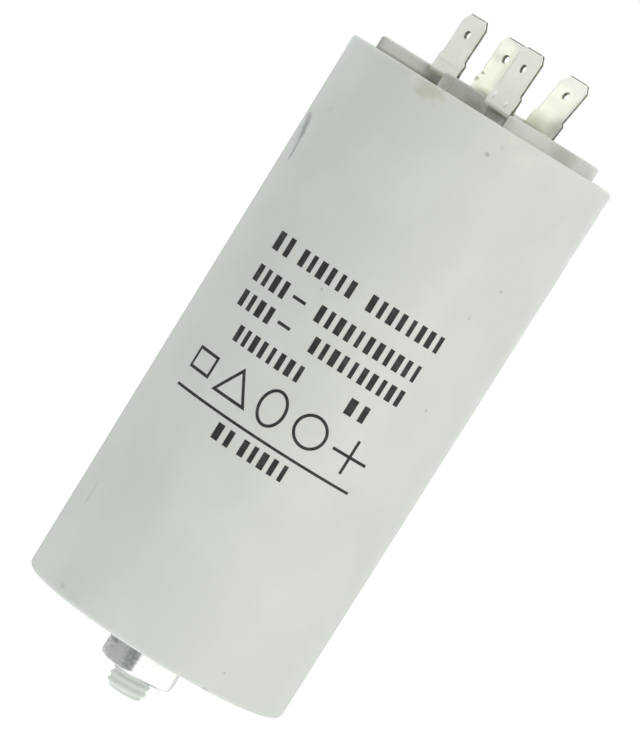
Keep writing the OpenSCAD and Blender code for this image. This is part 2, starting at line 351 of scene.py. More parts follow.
@dataclass(frozen=True)
class CanFinish:
    """Satin white moulded plastic with faint clouds, scuffs, specks and resin stains."""

    name: str = "can_white_plastic"
    pale: Colour = srgb(227, 233, 227)
    cloud: Colour = srgb(222, 228, 222)
    scuff: Colour = srgb(88, 96, 92)
    stain: Colour = srgb(204, 208, 188)
    crust: Colour = srgb(236, 239, 224)
    cloud_scale: float = 70.0
    cloud_band: Span = (0.35, 0.65)
    ragged_scale: float = 900.0
    gloss_scale: float = 220.0
    roughness: Span = (0.38, 0.48)
    grain_scale: float = 2600.0
    grain_strength: float = 0.10
    grain_depth: float = 0.00006
    scuffs: tuple[Patch, ...] = (
        spot(-32.2, 87.3, 2.6, 1.2, 0.36, 0.5),
        spot(-30.9, 86.0, 1.7, 1.9, 0.48, 0.6),
        spot(-30.1, 84.6, 1.3, 2.2, 0.44, 0.6),
        spot(-29.6, 82.8, 0.9, 2.2, 0.40, 0.6),
        spot(-29.3, 80.8, 0.8, 2.0, 0.40, 0.6),
        spot(-31.6, 84.6, 2.4, 2.8, 0.16, 0.5),
        spot(-26.4, 16.6, 0.7, 2.9, 0.16),
        spot(-25.6, 90.2, 1.0, 0.7, 0.08),
    )
    specks: tuple[Patch, ...] = (
        spot(3.9, 97.6, 0.6, 0.5, 0.33, 1.6),
        spot(5.4, 99.7, 0.6, 0.5, 0.14),
        spot(19.4, 57.2, 0.45, 0.4, 0.32),
        spot(19.4, 79.9, 0.45, 0.4, 0.28),
        spot(16.6, 73.6, 0.4, 0.4, 0.20),
        spot(-7.2, 65.3, 0.4, 0.4, 0.28),
        spot(-19.5, 1.8, 0.9, 0.6, 0.20, 1.6),
        spot(13.0, 4.2, 0.35, 0.35, 0.26),
        spot(11.8, 0.3, 1.0, 0.5, 0.30, 1.2),
    )
    stains: tuple[Patch, ...] = (
        spot(-9.4, 101.4, 3.7, 2.3, 0.75, 1.2),
        spot(-10.7, 100.2, 1.0, 0.9, 0.65),
        spot(-15.0, 102.0, 3.2, 1.0, 0.12),
        spot(-3.5, 102.2, 3.4, 0.9, 0.16),
        spot(8.5, 101.9, 5.0, 1.2, 0.14),
    )
    crusts: tuple[Patch, ...] = (
        spot(-12.9, 101.6, 1.2, 1.0, 0.40, 2.4),
        spot(6.4, 101.6, 1.7, 0.9, 0.60, 1.4),
        spot(9.6, 99.6, 3.0, 1.4, 0.25),
    )

    def material(self) -> bpy.types.Material:
        """Build the can's plastic with its marks.

        Returns:
            The material.
        """
        g = Graph(self.name)
        x, y, z = g.parts(g.stretched((1, 1, 1), -FRONT_TURN))
        arc = g.maths("MULTIPLY", g.maths("ARCTAN2", y, x), ARC_RADIUS)
        place = g.joined(arc, g.maths("DIVIDE", z, MM), 0.0)
        ragged = g.noise(self.ragged_scale, 4)
        colour = g.mix(g.cloudy(self.cloud_scale, 4, band=self.cloud_band), self.pale, self.cloud)
        layers = (
            (self.stain, self.stains),
            (self.crust, self.crusts),
            (self.scuff, self.scuffs + self.specks),
        )
        for tone, marks in layers:
            colour = g.marked(colour, tone, marks, place, ragged)
        g.set("Base Color", colour)
        g.set("Roughness", g.cloudy(self.gloss_scale, 3, self.roughness))
        g.bump(g.noise(self.grain_scale, 2), self.grain_strength, self.grain_depth)
        return g.material


@dataclass(frozen=True)
class PlasticFinish:
    """Moulded plastic or cured resin with a faint cloud, a fine grain and darker patches that paint in shade.
    """

    name: str
    pale: Colour
    cloud: Colour
    roughness: Span = (0.42, 0.56)
    cloud_scale: float = 160.0
    grain_scale: float = 1800.0
    grain_depth: float = 0.00008
    grain_strength: float = 0.2
    # Dark olive tone of the marks, which paint shade into the colour where the lid stands in shade
    painted_shade: Colour = srgb(122, 126, 104)
    painted_shade_scale: float = 1100.0
    marks: tuple[Patch, ...] = ()

    def material(self) -> bpy.types.Material:
        """Build the plastic.

        Returns:
            The material.
        """
        g = Graph(self.name)
        colour = g.mix(g.cloudy(self.cloud_scale, 4), self.pale, self.cloud)
        place = g.vector("DIVIDE", g.place, (MM, MM, MM))
        # Painted shade: the marks darken the colour in notches, gaps and on faces in shadow
        g.set("Base Color", g.marked(colour, self.painted_shade, self.marks, place, g.noise(self.painted_shade_scale, 4)))
        g.set("Roughness", g.cloudy(self.cloud_scale * 2, 3, self.roughness))
        g.bump(g.noise(self.grain_scale, 3), self.grain_strength, self.grain_depth)
        return g.material


@dataclass(frozen=True)
class MetalFinish:
    """Plated, sprayed or bare metal: mottled tone, uneven gloss, fine brushing and a few marks, some of them
    painted shade.
    """

    name: str
    bright: Colour
    dull: Colour
    roughness: Span
    mottle_scale: float
    brush: Place = (1.0, 1.0, 1.0)
    relief: float = 0.00002
    relief_strength: float = 0.5
    mottle_band: Span = (0.36, 0.66)
    brush_scale: float = 900.0
    ragged_scale: float = 1600.0
    # Tone of the marks; low on the blades and on the nut the marks are painted shade
    mark: Colour = srgb(120, 122, 112)
    marks: tuple[Patch, ...] = ()
    dents: tuple[Patch, ...] = ()
    dent_depth: float = 0.0003

    def material(self) -> bpy.types.Material:
        """Build the metal.

        Returns:
            The material.
        """
        g = Graph(self.name)
        place = g.vector("DIVIDE", g.place, (MM, MM, MM))
        ragged = g.noise(self.ragged_scale, 3)
        lines = g.noise(self.brush_scale, 4, g.stretched(self.brush))
        colour = g.mix(g.cloudy(self.mottle_scale, 5, band=self.mottle_band), self.bright, self.dull)
        # Marks laid over the mottled colour, some of them painted shade
        g.set("Base Color", g.marked(colour, self.mark, self.marks, place, ragged))
        g.set("Metallic", 1.0)
        g.set("Roughness", g.fade(lines, *NOISE_BAND, *self.roughness))
        height = g.maths("MULTIPLY", lines, self.relief / self.dent_depth)
        for dent in self.dents:
            height = g.maths("ADD", height, g.patch(place, dent, ragged))
        g.bump(height, self.relief_strength, self.dent_depth)
        return g.material


@dataclass(frozen=True)
class InkFinish:
    """Black stamping ink, thin and a little uneven."""

    name: str = "print_ink"
    full: Colour = srgb(34, 36, 36)
    thin: Colour = srgb(62, 65, 64)
    cloud_scale: float = 700.0
    cloud_band: Span = (0.4, 0.75)
    gloss_scale: float = 400.0
    roughness: Span = (0.5, 0.65)

    def material(self) -> bpy.types.Material:
        """Build the ink.

        Returns:
            The material.
        """
        g = Graph(self.name)
        g.set("Base Color", g.mix(g.cloudy(self.cloud_scale, 4, band=self.cloud_band), self.full, self.thin))
        g.set("Roughness", g.cloudy(self.gloss_scale, 2, self.roughness))
        return g.material


class Bench:
    """Modelling operators, each used on one fresh object at a time."""

    @staticmethod
    def clear() -> None:
        """Leave edit mode and deselect everything."""
        if bpy.context.object and bpy.context.object.mode != "OBJECT":
            bpy.ops.object.mode_set(mode="OBJECT")
        bpy.ops.object.select_all(action="DESELECT")

    @staticmethod
    def chain(name: str, points: Sequence[Span]) -> bpy.types.Object:
        """Draw an edge chain in the XZ plane by extruding one point along it.

        Args:
            name: The object's name.
            points: Radius and height of each point, in millimetres.

        Returns:
            The object, in edit mode with all of it selected.
        """
        Bench.clear()
        bpy.ops.mesh.primitive_plane_add(size=MM)
        obj = bpy.context.object
        obj.name = name
        bpy.ops.object.mode_set(mode="EDIT")
        bpy.ops.mesh.select_all(action="SELECT")
        bpy.ops.mesh.merge(type="CENTER")
        bpy.ops.transform.translate(value=(points[0][0] * MM, 0, points[0][1] * MM))
        for (r0, z0), (r1, z1) in zip(points, points[1:]):
            step = ((r1 - r0) * MM, 0, (z1 - z0) * MM)
            bpy.ops.mesh.extrude_region_move(TRANSFORM_OT_translate={"value": step})
        bpy.ops.mesh.select_all(action="SELECT")
        return obj

    @staticmethod
    def close() -> None:
        """Merge doubles of the mesh in edit mode, turn its faces outwards and leave edit mode."""
        bpy.ops.mesh.select_all(action="SELECT")
        bpy.ops.mesh.remove_doubles(threshold=MERGE)
        bpy.ops.mesh.normals_make_consistent(inside=False)
        bpy.ops.object.mode_set(mode="OBJECT")

    @staticmethod
    def lathe(name: str, points: Sequence[Span], steps: int) -> bpy.types.Object:
        """Spin a profile round the Z axis.

        Args:
            name: The object's name.
            points: The profile as radius and height, in millimetres.
            steps: Facets round the axis.

        Returns:
            The closed object.
        """
        obj = Bench.chain(name, points)
        bpy.ops.mesh.spin(steps=steps, angle=2 * math.pi, center=(0, 0, 0), axis=(0, 0, 1))
        Bench.close()
        return obj

    @staticmethod
    def apply(obj: bpy.types.Object, kind: str, **settings: object) -> None:
        """Add a modifier to an object and apply it.

        Args:
            obj: The object.
            kind: The modifier's type.
            settings: The modifier's own settings.
        """
        Bench.clear()
        obj.select_set(True)
        bpy.context.view_layer.objects.active = obj
        modifier = obj.modifiers.new(kind.lower(), kind)
        for name, value in settings.items():
            setattr(modifier, name, value)
        bpy.ops.object.modifier_apply(modifier=modifier.name)

    @staticmethod
    def join(objects: Sequence[bpy.types.Object], name: str) -> bpy.types.Object:
        """Join several objects into one.

        Args:
            objects: The objects; the first one takes in the rest.
            name: The joined object's name.

        Returns:
            The joined object.
        """
        Bench.clear()
        for obj in objects:
            obj.select_set(True)
        bpy.context.view_layer.objects.active = objects[0]
        if len(objects) > 1:
            bpy.ops.object.join()
        objects[0].name = name
        return objects[0]

    @staticmethod
    def smooth(obj: bpy.types.Object, angle: float) -> None:
        """Shade an object smooth, apart from its sharp edges.

        Args:
            obj: The object.
            angle: Degrees from which an edge stays sharp.
        """
        Bench.clear()
        obj.select_set(True)
        bpy.context.view_layer.objects.active = obj
        bpy.ops.object.shade_smooth_by_angle(angle=math.radians(angle))

    @staticmethod
    def reshape(obj: bpy.types.Object, move: Callable[[Vector], Vector]) -> None:
        """Move every point of an object's mesh by a rule.

        Args:
            obj: The object.
            move: Gives a point's new place from its old one.
        """
        for vertex in obj.data.vertices:
            vertex.co = move(vertex.co)
        obj.data.update()


def wear(obj: bpy.types.Object, material: bpy.types.Material) -> None:
    """Give an object one material on all its faces."""
    obj.data.materials.clear()
    obj.data.materials.append(material)


def arc_points(centre: Span, radius: float, start: float, end: float, steps: int = 8) -> list[Span]:
    """Points on an arc of a profile.

    Args:
        centre: The arc's centre as radius and height.
        radius: The arc's radius.
        start: First angle in degrees.
        end: Last angle in degrees.
        steps: Pieces that the arc is cut into.

    Returns:
        The arc's points in order.
    """
    turns = [math.radians(start + (end - start) * i / steps) for i in range(steps + 1)]
    return [(centre[0] + radius * math.cos(t), centre[1] + radius * math.sin(t)) for t in turns]


@dataclass
class Can:
    """The white can, moulded in one piece with its stud, with the thread that the solid leaves out."""

    rim_d: float = span("can", 0)[1] - span("can", 0)[0]
    height: float = span("can", 2)[1]
    draft: float = 0.3
    wall: float = 2.0
    floor: float = span("potting_resin", 2)[0]
    rim_round: float = 0.5
    base_round: float = 1.1
    foot_recess: float = span("hex_nut", 2)[1]
    foot_r_in: float = 14.006
    foot_edge: float = 0.15
    foot_edge_steps: int = 3
    ring_step: int = 6
    lid_seat: float = span("lid", 2)[0]
    lid_ledge: float = 0.6
    stud_r: float = 3.6
    stud_root_round: float = 0.6
    stud_len: float = -span("can", 2)[0]
    nut_foot: float = span("hex_nut", 2)[0]
    thread_in_nut: float = 1.5
    thread_overlap: float = 0.3
    thread_depth: float = 0.34
    thread_pitch: float = 1.25
    thread_turns: int = 8
    thread_run_in: float = 1.5
    thread_steps: int = 16
    thread_facets: int = 72
    crest_width: float = 1.35
    cut_threshold: float = 1e-7
    tip_taper: float = 1.3
    tip_shrink: float = 0.17
    nick_turn: float = FRONT_TURN + math.radians(26.8)
    nick_reach: float = 1.3
    nick_depth: float = 0.35
    facets: int = 224
    smooth_angle: float = 35.0
    finish: CanFinish = field(default_factory=CanFinish)

    @property
    def plain_end(self) -> float:
        """Height inside the nut where the stud's plain part ends and its thread starts."""
        return self.nut_foot + self.thread_in_nut

    def outer(self, z: float) -> float:
        """Outer radius at a height."""
        return self.rim_d / 2 - (self.height - z) * math.tan(math.radians(self.draft))

    def inner(self, z: float) -> float:
        """Inner radius at a height."""
        return self.outer(z) - self.wall

    def profile(self) -> list[Span]:
        """Trace the cup and the stud's plain part as radius and height, from the stud round to the floor.

        Returns:
            The profile's points in order.
        """
        base, rim = self.outer(self.base_round), self.outer(self.height)
        mouth = self.inner(self.lid_seat) + self.lid_ledge
        root, edge = self.stud_root_round, self.foot_edge
        side = [(self.outer(z), z) for z in range(self.ring_step, int(self.height), self.ring_step)]
        return [
            (0.0, self.plain_end),
            (self.stud_r - self.thread_depth, self.plain_end),
            (self.stud_r, self.plain_end + root),
            *arc_points((self.stud_r + root, self.foot_recess - root), root, 180, 90),
            (self.foot_r_in, self.foot_recess),
            *arc_points((self.foot_r_in + edge, edge), edge, 180, 270, self.foot_edge_steps),
            *arc_points((base - self.base_round, self.base_round), self.base_round, -90, 0),
            *side,
            *arc_points((rim - self.rim_round, self.height - self.rim_round), self.rim_round, 0, 90),
            (mouth, self.height),
            (mouth, self.lid_seat),
            (self.inner(self.lid_seat), self.lid_seat),
            (self.inner(self.floor), self.floor),
            (0.0, self.floor),
        ]

    def thread(self) -> bpy.types.Object:
        """Screw a soft round thread profile down the stud's free end, then cut and close its ends.

        Returns:
            The closed thread.
        """
        pitch, steps = self.thread_pitch, self.thread_steps
        bottom = -self.stud_len - self.thread_run_in * pitch
        root = self.stud_r - self.thread_depth
        rises = [0.5 - 0.5 * math.cos(2 * math.pi * i / steps) for i in range(steps + 1)]
        points = [
            (root + self.thread_depth * min(1.0, self.crest_width * rise), bottom + pitch * i / steps)
            for i, rise in enumerate(rises)
        ]
        obj = Bench.chain("stud_thread", points)
        bpy.ops.object.mode_set(mode="OBJECT")
        Bench.apply(
            obj, "SCREW", angle=2 * math.pi, screw_offset=pitch * MM, iterations=self.thread_turns,
            steps=self.thread_facets, render_steps=self.thread_facets,
            use_merge_vertices=True, merge_threshold=MERGE,
        )
        bpy.ops.object.mode_set(mode="EDIT")
        for height, way in ((-self.stud_len, -1), (self.plain_end + self.thread_overlap, 1)):
            bpy.ops.mesh.select_all(action="SELECT")
            bpy.ops.mesh.bisect(
                plane_co=(0, 0, height * MM), plane_no=(0, 0, way),
                use_fill=True, clear_outer=True, threshold=self.cut_threshold,
            )
        Bench.close()
        Bench.reshape(obj, self.tip)
        return obj

    def tip(self, place: Vector) -> Vector:
        """Draw the stud's last stretch in towards its tip.

        Args:
            place: A point of the thread.

        Returns:
            Its new place.
        """
        near = 1 - (place.z / MM + self.stud_len) / self.tip_taper
        if near <= 0:
            return place
        shrink = 1 - self.tip_shrink * near * near
        return Vector((place.x * shrink, place.y * shrink, place.z))

    def nick(self, place: Vector) -> Vector:
        """Press a small nick into the base's edge.

        Args:
            place: A point of the cup.

        Returns:
            Its new place.
        """
        out = Vector((math.cos(self.nick_turn), math.sin(self.nick_turn), 0))
        near = 1 - (place - out * self.outer(0) * MM).length / MM / self.nick_reach
        if near <= 0:
            return place
        return place + (Vector((0, 0, 1)) - out) * self.nick_depth * near * near * MM

    def build(self) -> bpy.types.Object:
        """Build the can, dress it and let it stand for the solid.

        Returns:
            The can.
        """
        shell = Bench.lathe("can_shell", self.profile(), self.facets)
        Bench.reshape(shell, self.nick)
        obj = Bench.join([shell, self.thread()], "can_moulding")
        Bench.smooth(obj, self.smooth_angle)
        wear(obj, self.finish.material())
        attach(obj, BODY)
        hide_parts("can")
        return obj


@dataclass
class Terminals:
    """The two stamped strips with the rounded and bare cut edges that the solids leave out."""

    strips: tuple[str, ...] = ("terminal_left", "terminal_right")
    tip: float = span("terminal_right", 2)[1]
    shown_l: float = 10.9
    flat_l: float = 8.4
    edge_round: float = 0.2
    edge_steps: int = 3
    sharp_angle: float = 50.0
    flat_angle: float = 0.5
    smooth_angle: float = 35.0
    corner_weight: int = 50
    # What tells cut faces from plated ones: parts of the face's normal, and a rolled edge's least area
    through_y: float = 0.15
    side_x: float = 0.6
    plated_y: float = 0.97
    left_x: float = -0.2
    tip_z: float = 0.3
    least_strip: float = 0.2
    plate: MetalFinish = MetalFinish(
        "tin_plate", srgb(249, 250, 242), srgb(242, 243, 233), (0.33, 0.37), 200.0,
        brush=(1.0, 1.0, 0.12),
        relief=0.000006,
        mark=srgb(150, 152, 140),
        marks=(
            # Grey marks at tab 2's left shoulder
            Patch((-10.2, 4.6, 108.4), (1.0, 1.0, 0.35), 0.75),
            Patch((-10.6, 4.6, 107.1), (0.9, 1.0, 0.5), 0.70),
            # Painted shade on tab 2's foot, which greys towards its bend
            Patch((-7.3, 4.6, 104.8), (5.0, 1.4, 2.1), 0.95, 0.2, 0.1),
            # Painted dark reflection on tab 4's lower part, darker to the right
            Patch((16.4, 0.0, 107.0), (3.6, 2.5, 3.2), 0.60, 0.15, 0.1),
            Patch((11.4, 0.0, 104.6), (7.7, 2.5, 4.6), 0.76, 0.15, 0.1),
            # Painted shade on tab 3's foot, under its bend
            Patch((7.3, -4.9, 104.0), (3.8, 0.6, 0.6), 0.65, 0.5, 0.3),
        ),
        dents=(
            Patch((5.0, -5.4, 106.3), (0.4, 0.5, 0.9), 0.9, 0.3, 0.0),
            Patch((8.7, -5.4, 105.9), (0.45, 0.5, 0.7), 0.9, 0.3, 0.0),
            Patch((7.2, -5.4, 107.5), (0.2, 0.5, 0.2), -0.3, 0.3, 0.0),
        ),
    )
    cut: MetalFinish = MetalFinish(
        "bare_cut_edge", srgb(160, 160, 147), srgb(128, 128, 116), (0.4, 0.55), 1400.0, brush=(1.0, 0.2, 1.0)
    )

    def copy(self, node: bpy.types.Object) -> bpy.types.Object:
        """Copy a solid, merge its loose triangles and join them into flat faces.

        Args:
            node: The solid.

        Returns:
            The copy, in edit mode.
        """
        Bench.clear()
        node.select_set(True)
        bpy.context.view_layer.objects.active = node
        bpy.ops.object.duplicate()
        obj = bpy.context.object
        obj.name = f"{node.name}_sheet"
        bpy.ops.object.mode_set(mode="EDIT")
        bpy.ops.mesh.select_all(action="SELECT")
        bpy.ops.mesh.remove_doubles(threshold=MERGE)
        bpy.ops.mesh.dissolve_limited(angle_limit=math.radians(self.flat_angle))
        return obj

    def soften(self, obj: bpy.types.Object) -> None:
        """Round the sharp edges of the blades above the lid.

        Args:
            obj: A strip in edit mode, which ends in object mode.
        """
        bpy.ops.mesh.select_mode(type="EDGE")
        bpy.ops.mesh.select_all(action="DESELECT")
        bpy.ops.mesh.edges_select_sharp(sharpness=math.radians(self.sharp_angle))
        mesh = bmesh.from_edit_mesh(obj.data)
        for edge in mesh.edges:
            if min(vertex.co.z for vertex in edge.verts) < (self.tip - self.shown_l) * MM:
                edge.select_set(False)
        bmesh.update_edit_mesh(obj.data)
        bpy.ops.mesh.bevel(
            offset=self.edge_round * MM, segments=self.edge_steps, affect="EDGES", clamp_overlap=False
        )
        bpy.ops.object.mode_set(mode="OBJECT")

    def is_cut(self, face: bpy.types.MeshPolygon) -> bool:
        """Tell whether a face is bare: cut through the sheet, or a rolled edge at a tip or on the left.

        Args:
            face: A face of a strip.

        Returns:
            True for a bare face.
        """
        normal, on_blade = face.normal, face.center.z > (self.tip - self.flat_l) * MM
        through = abs(normal.y) < self.through_y and (on_blade or abs(normal.x) > self.side_x)
        rolled = on_blade and abs(normal.y) < self.plated_y and face.area > self.least_strip * MM * MM
        return through or (rolled and (normal.x < self.left_x or normal.z > self.tip_z))

    def build(self, nodes: dict[str, bpy.types.Object]) -> list[bpy.types.Object]:
        """Copy both strips, soften and dress them and let them stand for the solids.

        Args:
            nodes: The frame's solids by name.

        Returns:
            The two sheets.
        """
        plate, cut = self.plate.material(), self.cut.material()
        sheets = []
        for name in self.strips:
            obj = self.copy(nodes[name])
            self.soften(obj)
            wear(obj, plate)
            obj.data.materials.append(cut)
            for face in obj.data.polygons:
                face.material_index = int(self.is_cut(face))
            Bench.smooth(obj, self.smooth_angle)
            Bench.apply(obj, "WEIGHTED_NORMAL", weight=self.corner_weight, keep_sharp=True)
            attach(obj, BODY)
            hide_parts(name)
            sheets.append(obj)
        return sheets


class Shape(Enum):
    """Plain shapes that stand in the row of marks, with the corners of each outline."""

    SQUARE = 4
    TRIANGLE = 3
    RING = 40
    CROSS = 0


@dataclass(frozen=True)
class Word:
    """A run of plain blocks on the can: its arc, foot and head in millimetres, and how many blocks it has."""

    start: float
    end: float
    foot: float
    head: float
    blocks: int


@dataclass(frozen=True)
class Mark:
    """A plain outlined shape on the can: its kind, arc, height and radius across and up, in millimetres."""

    shape: Shape
    arc: float
    height: float
    half: float
    tall: float


@dataclass
class Print:
    """Fields of ink on the can's side: rows of plain blocks, a row of plain shapes and a rule."""

    can: Can
    lift: float = 0.012
    ink_t: float = 0.02
    line_w: float = 0.52
    slope: float = -0.012
    fill: tuple[float, ...] = (0.58, 0.44, 0.62, 0.50, 0.40, 0.54)
    body: float = 0.92
    slice_l: float = 0.8
    outline_cuts: int = 4
    smooth_angle: float = 30.0
    words: tuple[Word, ...] = (
        Word(-19.95, -14.85, 66.0, 69.6, 2),
        Word(-13.65, -2.15, 66.1, 69.3, 6),
        Word(0.0, 15.25, 66.0, 69.2, 8),
        Word(-19.95, -11.65, 60.1, 63.3, 4),
        Word(-6.15, 14.45, 60.1, 63.3, 11),
        Word(-19.95, -11.55, 55.4, 58.5, 4),
        Word(-4.25, 14.25, 55.4, 58.5, 10),
        Word(-16.65, -2.15, 50.2, 53.3, 8),
        Word(5.75, 10.75, 50.2, 53.3, 2),
        Word(-10.55, -6.05, 35.3, 38.4, 2),
        Word(-5.25, 4.15, 35.3, 38.4, 5),
    )
    bars: tuple[tuple[float, float, float, float], ...] = (
        (-10.75, -8.15, 61.45, 62.0),
        (-10.65, -8.15, 56.65, 57.2),
        (-21.65, 14.75, 39.25, 39.72),
    )
    marks: tuple[Mark, ...] = (
        Mark(Shape.SQUARE, -18.85, 44.8, 3.6, 2.8),
        Mark(Shape.TRIANGLE, -11.1, 43.9, 4.15, 3.9),
        Mark(Shape.RING, -3.75, 44.8, 2.5, 3.3),
        Mark(Shape.RING, 3.5, 44.9, 3.0, 3.0),
        Mark(Shape.CROSS, 11.4, 44.7, 3.4, 3.1),
    )

    def wrap(self, place: Vector) -> Vector:
        """Lay a flat drawing onto the can's side, a little out of level.

        Args:
            place: A point of the drawing, with arc and height in millimetres.

        Returns:
            The point on the can.
        """
        arc, height = place.x, place.y + self.slope * place.x
        turn = FRONT_TURN + arc / ARC_RADIUS
        radius = self.can.outer(height) + self.lift
        return Vector((radius * math.cos(turn), radius * math.sin(turn), height)) * MM

    def block(self, left: float, right: float, foot: float, head: float) -> bpy.types.Object:
        """Draw one flat block, sliced along its arc so that it can follow the can.

        Args:
            left: Arc of its left side.
            right: Arc of its right side.
            foot: Height of its lower side.
            head: Height of its upper side.

        Returns:
            The flat block, with millimetres as its units.
        """
        Bench.clear()
        slices = max(2, round((right - left) / self.slice_l))
        bpy.ops.mesh.primitive_grid_add(x_subdivisions=slices, y_subdivisions=1, size=1)
        obj = bpy.context.object
        bpy.ops.object.mode_set(mode="EDIT")
        bpy.ops.mesh.select_all(action="SELECT")
        bpy.ops.transform.resize(value=(right - left, head - foot, 1))
        bpy.ops.transform.translate(value=((left + right) / 2, (foot + head) / 2, 0))
        bpy.ops.object.mode_set(mode="OBJECT")
        return obj

    def outline(self, mark: Mark) -> list[bpy.types.Object]:
        """Draw one plain shape of the marks' row.

        Args:
            mark: The shape.

        Returns:
            The flat pieces that make it.
        """
        half, tall, wide = mark.half, mark.tall, self.line_w / 2
        if mark.shape is Shape.CROSS:
            return [
                self.block(mark.arc - half, mark.arc + half, mark.height - wide, mark.height + wide),
                self.block(mark.arc - wide, mark.arc + wide, mark.height + wide, mark.height + tall),
                self.block(mark.arc - wide, mark.arc + wide, mark.height - tall, mark.height - wide),
            ]
        Bench.clear()
        bpy.ops.mesh.primitive_circle_add(vertices=mark.shape.value, radius=1, fill_type="NGON")
        obj = bpy.context.object
        bpy.ops.object.mode_set(mode="EDIT")
        bpy.ops.mesh.select_all(action="SELECT")
        if mark.shape is Shape.SQUARE:
            bpy.ops.transform.rotate(value=math.radians(45), orient_axis="Z", center_override=(0, 0, 0))
        bpy.ops.transform.resize(value=(half, tall, 1), center_override=(0, 0, 0))
        bpy.ops.transform.translate(value=(mark.arc, mark.height, 0))
        bpy.ops.mesh.inset(thickness=self.line_w, use_even_offset=True)
        bpy.ops.mesh.delete(type="FACE")
        bpy.ops.mesh.select_all(action="SELECT")
        bpy.ops.mesh.subdivide(number_cuts=0 if mark.shape is Shape.RING else self.outline_cuts)
        bpy.ops.object.mode_set(mode="OBJECT")
        return [obj]

    def build(self) -> bpy.types.Object:
        """Draw all the fields, lay them on the can and give them the ink's thickness.

        Returns:
            The print as one piece.
        """
        drawn = [self.block(*bar) for bar in self.bars]
        for word in self.words:
            pitch = (word.end - word.start) / word.blocks
            tall = (word.head - word.foot) * self.body
            foot = (word.head + word.foot - tall) / 2
            for i in range(word.blocks):
                wide = pitch * self.fill[i % len(self.fill)]
                left = word.start + pitch * i + (pitch - wide) / 2
                drawn.append(self.block(left, left + wide, foot, foot + tall))
        for mark in self.marks:
            drawn.extend(self.outline(mark))
        obj = Bench.join(drawn, "side_print")
        Bench.reshape(obj, self.wrap)
        Bench.apply(obj, "SOLIDIFY", thickness=self.ink_t * MM, offset=0.0)
        Bench.smooth(obj, self.smooth_angle)
        wear(obj, InkFinish().material())
        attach(obj, BODY)
        return obj


